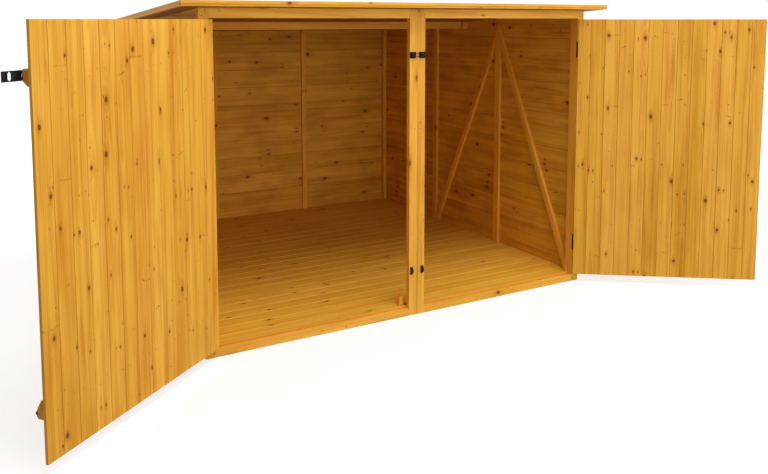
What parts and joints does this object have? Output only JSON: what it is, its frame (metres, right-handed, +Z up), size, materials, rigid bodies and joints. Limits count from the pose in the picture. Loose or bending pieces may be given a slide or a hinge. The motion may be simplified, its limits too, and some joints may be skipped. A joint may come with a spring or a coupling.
{
  "type": "timber bike shelter",
  "caption": "Low mono-pitch timber bike shelter with a boarded floor and two hinged front doors that stand open, one with a swinging hasp.",
  "frame": {"origin": "on the ground at the middle of the footprint of the walls", "axes": "+X to the right along the front, +Y from the front to the back, +Z up"},
  "size_m": [3.7804, 2.9547, 1.5749],
  "materials": {
    "frame_timber": "satin stain on planed pine",
    "wall_timber": "satin stain on pine boards",
    "door_timber": "satin stain on knotty pine boards",
    "floor_timber": "satin stain on pine floor boards",
    "roof_felt": "mineral felt",
    "black_steel": "black powder coat"
  },
  "bodies": {
    "frame": {"front_sill": "frame_timber", "back_bearer": "frame_timber", "floor_joists": "frame_timber", "floor_boards": "floor_timber", "front_post_left": "frame_timber", "front_post_right": "frame_timber", "centre_post_left": "frame_timber", "centre_post_right": "frame_timber", "header_left": "frame_timber", "header_right": "frame_timber", "left_wall": "wall_timber", "right_wall": "wall_timber", "back_wall": "wall_timber", "front_corner_battens": "frame_timber", "rear_corner_battens": "frame_timber", "left_wall_studs": "frame_timber", "right_wall_studs": "frame_timber", "left_wall_braces": "frame_timber", "right_wall_braces": "frame_timber", "back_wall_battens": "frame_timber", "purlin": "frame_timber", "roof_boards": "frame_timber", "roof_felt": "roof_felt", "roof_edge_front": "frame_timber", "roof_edge_back": "frame_timber", "roof_edge_left": "frame_timber", "roof_edge_right": "frame_timber", "left_post_hinges": "black_steel", "right_post_hinges": "black_steel", "staple": "black_steel", "upper_keepers": "black_steel", "lower_keepers": "black_steel", "stop_blocks": "frame_timber"},
    "left_door": {"left_door_boards": "door_timber", "left_door_rails": "frame_timber", "left_door_brace": "frame_timber", "left_door_hinges": "black_steel", "left_door_tab": "black_steel", "hasp_base": "black_steel"},
    "right_door": {"right_door_boards": "door_timber", "right_door_rails": "frame_timber", "right_door_brace": "frame_timber", "right_door_hinges": "black_steel", "right_door_tab": "black_steel"},
    "hasp": {"hasp_strap": "black_steel"}
  },
  "joints": [
    {"name": "left_door_swing", "type": "hinge", "parent": "frame", "child": "left_door", "pos_m": [-1.0495, -1.1152, 0.77], "axis": [0, 0, 1], "range_deg": [-6.7, 141.3]},
    {"name": "right_door_swing", "type": "hinge", "parent": "frame", "child": "right_door", "pos_m": [1.0495, -1.1152, 0.77], "axis": [0, 0, -1], "range_deg": [-4, 144]},
    {"name": "hasp_swing", "type": "hinge", "parent": "left_door", "child": "hasp", "pos_m": [-1.84765, -1.7244, 1.321], "axis": [0, 0, -1], "range_deg": [0, 165]}
  ]
}
